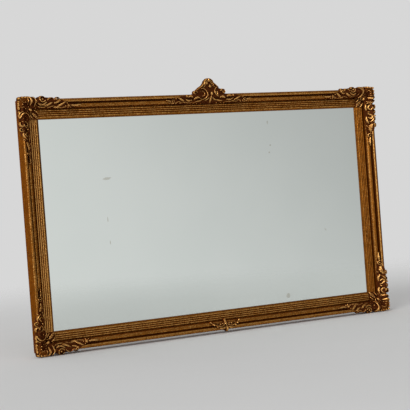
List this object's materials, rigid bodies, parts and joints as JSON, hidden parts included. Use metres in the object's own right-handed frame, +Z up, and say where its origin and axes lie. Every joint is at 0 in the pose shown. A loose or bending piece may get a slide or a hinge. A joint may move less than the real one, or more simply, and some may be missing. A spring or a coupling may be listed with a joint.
{
  "type": "overmantel mirror",
  "caption": "Wide gilt overmantel mirror: reeded and rolled moulding, cast scrollwork at the corners, crest and base, silvered plate, boarded back and strap hangers.",
  "frame": {"origin": "centre of the middle back plank's rear face, which lies against the wall", "axes": "+X along the frame's width to the viewer's right, +Y back into the wall, +Z up"},
  "size_m": [1.5304, 0.082, 0.9776],
  "materials": {
    "gilt_moulding": "old gold over red bole on gessoed pine, burnished on the rolls, dark in the quirks",
    "gilt_composition": "cast composition with the same old gold, rubbed bright on its edges and reddish brown in its hollows",
    "silvered_plate": "polished, slightly greenish, with a few small flaws in the silvering",
    "old_pine": "bare, sawn, darkened by age",
    "dull_brass": "dull, lightly tarnished"
  },
  "bodies": {
    "frame": {"rail_top": "gilt_moulding", "rail_bottom": "gilt_moulding", "stile_left": "gilt_moulding", "stile_right": "gilt_moulding", "crest_cartouche": "gilt_composition", "base_ornament": "gilt_composition", "crest_spray_left": "gilt_composition", "crest_spray_right": "gilt_composition", "corner_top_left": "gilt_composition", "corner_top_right": "gilt_composition", "corner_bottom_left": "gilt_composition", "corner_bottom_right": "gilt_composition", "rail_spray_top_left": "gilt_composition", "rail_spray_top_right": "gilt_composition", "rail_spray_bottom_left": "gilt_composition", "rail_spray_bottom_right": "gilt_composition", "stile_spray_top_left": "gilt_composition", "stile_spray_top_right": "gilt_composition", "stile_spray_bottom_left": "gilt_composition", "stile_spray_bottom_right": "gilt_composition", "mirror_plate": "silvered_plate", "block_left_1": "old_pine", "block_left_2": "old_pine", "block_right_1": "old_pine", "block_right_2": "old_pine", "block_top_1": "old_pine", "block_top_2": "old_pine", "block_top_3": "old_pine", "block_bottom_1": "old_pine", "block_bottom_2": "old_pine", "block_bottom_3": "old_pine", "back_plank_1": "old_pine", "back_plank_2": "old_pine", "back_plank_3": "old_pine", "hanger_strap_left": "dull_brass", "hanger_strap_right": "dull_brass"},
    "left_ring": {"hanger_ring_left": "dull_brass"},
    "right_ring": {"hanger_ring_right": "dull_brass"}
  },
  "joints": [
    {"name": "left_ring_swing", "type": "hinge", "parent": "frame", "child": "left_ring", "pos_m": [-0.7275, -0.0055, 0.19], "axis": [1, 0, 0], "range_deg": [0, 180]},
    {"name": "right_ring_swing", "type": "hinge", "parent": "frame", "child": "right_ring", "pos_m": [0.7275, -0.0055, 0.19], "axis": [1, 0, 0], "range_deg": [0, 180]}
  ]
}
